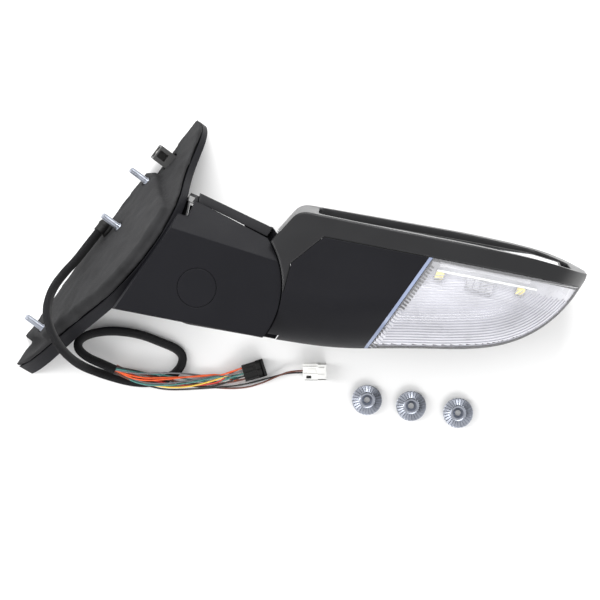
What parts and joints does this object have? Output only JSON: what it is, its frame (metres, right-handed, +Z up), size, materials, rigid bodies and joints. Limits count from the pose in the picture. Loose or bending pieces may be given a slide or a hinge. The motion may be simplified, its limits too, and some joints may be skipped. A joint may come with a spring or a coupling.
{
  "type": "car side mirror",
  "caption": "Folding door mirror with adjustable heated glass, clear signal and puddle lamp, black covers, door-mounting studs and a taped wiring harness.",
  "frame": {"origin": "on the bench plane under the middle of the mirror's box, measured without the wiring; the mirror lies with its cap down", "axes": "+X outboard along the mirror head and the glass, +Y to the rear of the car, where the glass faces, +Z up off the bench, which is down when the mirror is on the car"},
  "size_m": [0.4848, 0.2542, 0.1462],
  "materials": {
    "foam": "closed-cell foam gasket, fine grain, matt",
    "casting": "die casting, black coated",
    "zinc": "zinc plated steel",
    "clip_plastic": "dark moulded clip",
    "spring_steel": "bare spring steel",
    "rubber": "moulded rubber",
    "black_plastic": "fine grained black moulding",
    "grey_plastic": "fine grained dark grey moulding",
    "steel": "turned steel",
    "gear_plastic": "natural acetal",
    "motor_can": "drawn steel can",
    "frame_plastic": "glass-filled nylon, black",
    "cap_paint": "smooth primed black, ready for paint",
    "clear_lens": "clear acrylic with fine ribs",
    "lens_seal": "translucent blue-grey edge",
    "bezel_plastic": "smooth black moulding",
    "lamp_white": "pale satin reflector",
    "circuit_board": "white solder mask",
    "clear_guide": "clear acrylic",
    "led_body": "white package with a yellow phosphor dome",
    "carrier_plastic": "black moulding",
    "heater_foil": "printed heater film",
    "mirror": "front-silvered glass",
    "cloth_tape": "spirally wound cloth tape",
    "wire_insulation": "coloured wire insulation",
    "connector_black": "black nylon",
    "connector_white": "white nylon"
  },
  "bodies": {
    "base": {"base_seal": "foam", "base_bracket": "casting", "mounting_studs": "zinc", "locating_clip": "clip_plastic", "clip_spring": "spring_steel", "harness_boot": "rubber", "sail_cover": "black_plastic", "arm_lower_cover": "black_plastic", "arm_rear_strip": "grey_plastic", "neck_collar": "grey_plastic", "arm_floor": "black_plastic", "arm_upper_cover": "black_plastic", "pivot_plug": "black_plastic", "cover_screws": "zinc", "pivot_shaft": "steel", "fixed_detent": "steel", "fold_gear": "gear_plastic", "pivot_spring": "spring_steel", "spring_retainer": "steel", "harness_bundle": "cloth_tape", "wire_loom": "wire_insulation", "wire_pair": "wire_insulation", "black_connector": "connector_black", "white_connector": "connector_white", "flange_nuts": "zinc"},
    "head": {"moving_detent": "steel", "fold_motor": "motor_can", "head_frame": "frame_plastic", "hub_cover": "black_plastic", "skull_cap": "cap_paint", "lower_cover": "black_plastic", "signal_lens": "clear_lens", "lens_gasket": "lens_seal", "bezel": "bezel_plastic", "lamp_housing": "lamp_white", "led_board": "circuit_board", "light_guide": "clear_guide", "signal_leds": "led_body", "puddle_lamp": "clear_guide", "actuator_base": "frame_plastic", "actuator_cover": "frame_plastic", "adjust_motors": "motor_can", "actuator_screws": "zinc"},
    "worm": {"fold_worm": "steel"},
    "glass_gimbal": {"gimbal": "gear_plastic"},
    "glass": {"glass_carrier": "carrier_plastic", "heater_pad": "heater_foil", "mirror_glass": "mirror"},
    "side_jack": {"jack_screw_side": "gear_plastic"},
    "up_jack": {"jack_screw_up": "gear_plastic"}
  },
  "joints": [
    {"name": "fold", "type": "hinge", "parent": "base", "child": "head", "pos_m": [-0.0915, -0.0195, 0.08], "axis": [0, 0, 1], "range_deg": [-15, 50]},
    {"name": "worm_spin", "type": "hinge", "parent": "head", "child": "worm", "pos_m": [-0.0895, -0.0443, 0.0765], "axis": [1, 0, 0], "range_deg": [-620, 2010]},
    {"name": "glass_tilt", "type": "hinge", "parent": "head", "child": "glass_gimbal", "pos_m": [0.1115, 0.0425, 0.076], "axis": [1, 0, 0], "range_deg": [-6.5, 6.5]},
    {"name": "glass_pan", "type": "hinge", "parent": "glass_gimbal", "child": "glass", "pos_m": [0.1115, 0.0425, 0.076], "axis": [0, -0.1444, 0.9895], "range_deg": [-6.5, 6.5]},
    {"name": "side_jack_travel", "type": "slide", "parent": "head", "child": "side_jack", "axis": [0, 0.9895, 0.1444], "range_m": [-0.004, 0.004]},
    {"name": "up_jack_travel", "type": "slide", "parent": "head", "child": "up_jack", "axis": [0, 0.9895, 0.1444], "range_m": [-0.004, 0.004]}
  ],
  "couplings": [
    {"joint": "worm_spin", "follows": "fold", "ratio": 40},
    {"joint": "side_jack_travel", "follows": "glass_pan", "m_per_rad": 0.028},
    {"joint": "up_jack_travel", "follows": "glass_tilt", "m_per_rad": -0.028}
  ]
}
